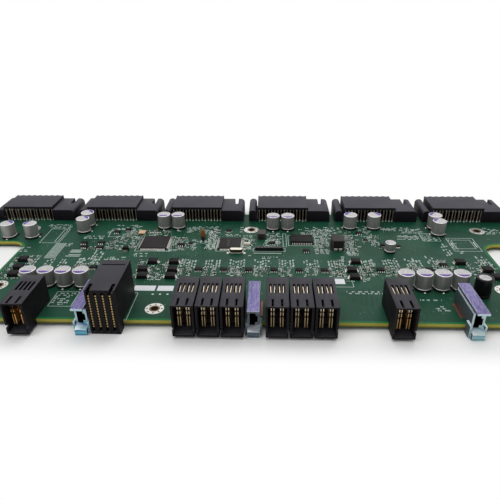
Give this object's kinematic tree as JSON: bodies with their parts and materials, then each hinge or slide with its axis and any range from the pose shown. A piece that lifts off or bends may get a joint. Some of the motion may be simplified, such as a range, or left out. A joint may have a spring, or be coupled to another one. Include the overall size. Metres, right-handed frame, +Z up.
{
  "type": "power backplane board",
  "caption": "Server power backplane: a T-shaped green circuit board with black power-supply sockets at the back, and power receptacles, a signal receptacle and metal guides at the front.",
  "frame": {"origin": "middle of the footprint, on the plane on which the connector noses rest", "axes": "+X along the board to the right seen from the front receptacles, +Y from the front receptacles to the power-supply sockets, +Z up from the component side"},
  "size_m": [0.436, 0.1752, 0.0292],
  "materials": {
    "board_green": "satin solder mask",
    "connector_black": "fine texture",
    "contact_tin": "tin plated",
    "contact_gold": "gold plated",
    "guide_zinc": "zinc plated",
    "can_aluminium": "satin",
    "base_black": "moulded",
    "sleeve_black": "shrink sleeve",
    "chip_black": "moulded epoxy",
    "crystal_steel": "pressed can",
    "oscillator_cream": "ceramic",
    "inductor_grey": "pressed ferrite",
    "dipped_orange": "dipped resin",
    "label_white": "paper"
  },
  "bodies": {
    "root": {"circuit_board": "board_green", "psu_socket_1": "connector_black", "psu_contacts_1": "contact_tin", "psu_socket_2": "connector_black", "psu_contacts_2": "contact_tin", "psu_socket_3": "connector_black", "psu_contacts_3": "contact_tin", "psu_socket_4": "connector_black", "psu_contacts_4": "contact_tin", "psu_socket_5": "connector_black", "psu_contacts_5": "contact_tin", "psu_socket_6": "connector_black", "psu_contacts_6": "contact_tin", "power_receptacle_1": "connector_black", "power_contacts_1": "contact_gold", "power_receptacle_2": "connector_black", "power_contacts_2": "contact_gold", "power_receptacle_3": "connector_black", "power_contacts_3": "contact_gold", "power_receptacle_4": "connector_black", "power_contacts_4": "contact_gold", "power_receptacle_5": "connector_black", "power_contacts_5": "contact_gold", "power_receptacle_6": "connector_black", "power_contacts_6": "contact_gold", "power_receptacle_7": "connector_black", "power_contacts_7": "contact_gold", "power_receptacle_8": "connector_black", "power_contacts_8": "contact_gold", "signal_receptacle": "connector_black", "signal_contacts": "contact_gold", "guide_socket_left": "guide_zinc", "guide_socket_centre": "guide_zinc", "guide_socket_right": "guide_zinc", "can_capacitors": "can_aluminium", "small_capacitor": "can_aluminium", "capacitor_bases": "base_black", "sleeved_capacitor": "sleeve_black", "processor_chip": "chip_black", "logic_chip": "chip_black", "driver_chip": "chip_black", "controller_chips": "chip_black", "power_diodes": "chip_black", "small_transistors": "chip_black", "crystal": "crystal_steel", "oscillator": "oscillator_cream", "power_inductor": "inductor_grey", "filter_block": "chip_black", "pin_header": "base_black", "dipped_capacitor": "dipped_orange", "board_labels": "label_white"}
  },
  "joints": []
}
